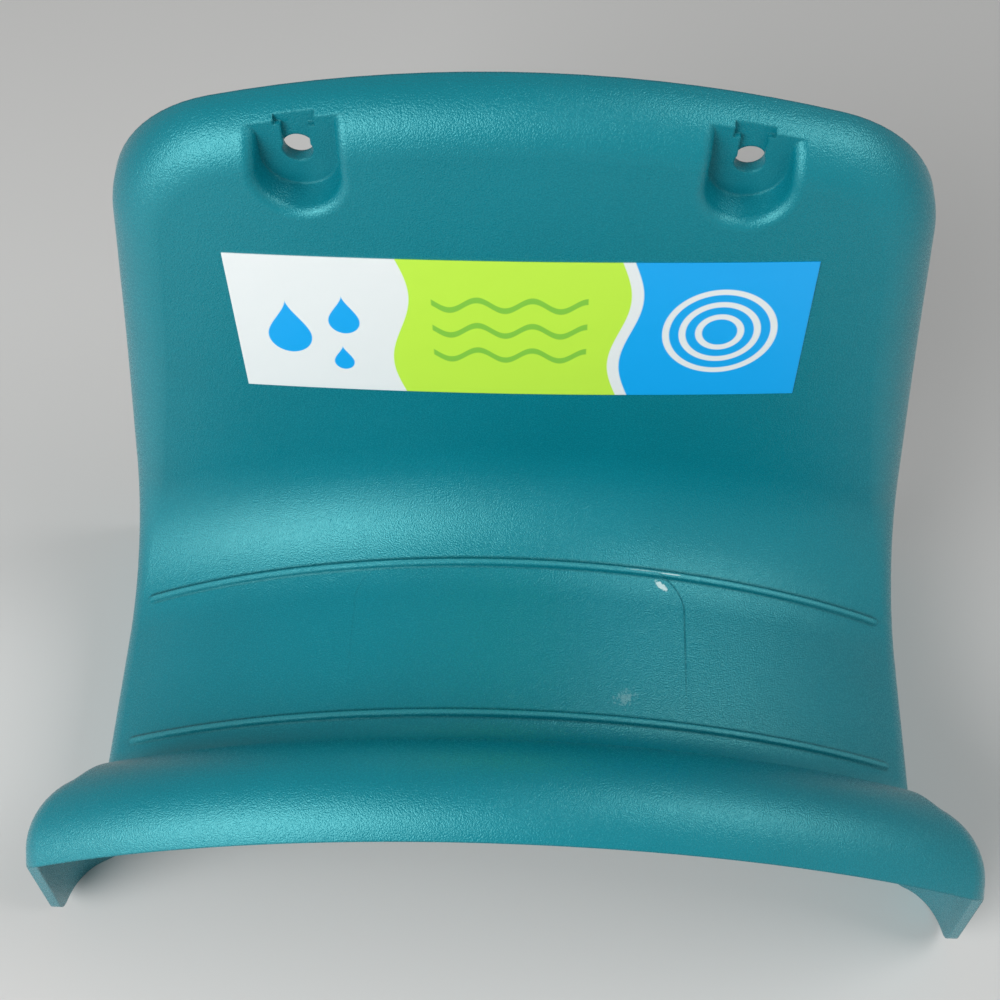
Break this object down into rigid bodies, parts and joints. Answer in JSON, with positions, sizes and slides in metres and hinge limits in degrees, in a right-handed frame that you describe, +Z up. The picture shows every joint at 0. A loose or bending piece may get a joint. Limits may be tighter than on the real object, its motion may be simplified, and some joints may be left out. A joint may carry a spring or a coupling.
{
  "type": "hose hanger",
  "caption": "One-piece moulded wall hanger with an arched saddle and rolled lip that carry a coiled hose, screw recesses in its plate and a paper label.",
  "frame": {"origin": "midway between the two screw holes, on the seats that the screw heads bear on; the wall's surface lies 7.5 mm behind it", "axes": "+X along the wall to the right as seen from the front, +Y into the wall, +Z up"},
  "size_m": [0.239, 0.1228, 0.193],
  "materials": {
    "hanger_body": "satin moulded plastic with a fine grain",
    "paper_label": "printed paper with a slight sheen"
  },
  "bodies": {
    "root": {"hanger_body": "hanger_body", "paper_label": "paper_label"}
  },
  "joints": []
}
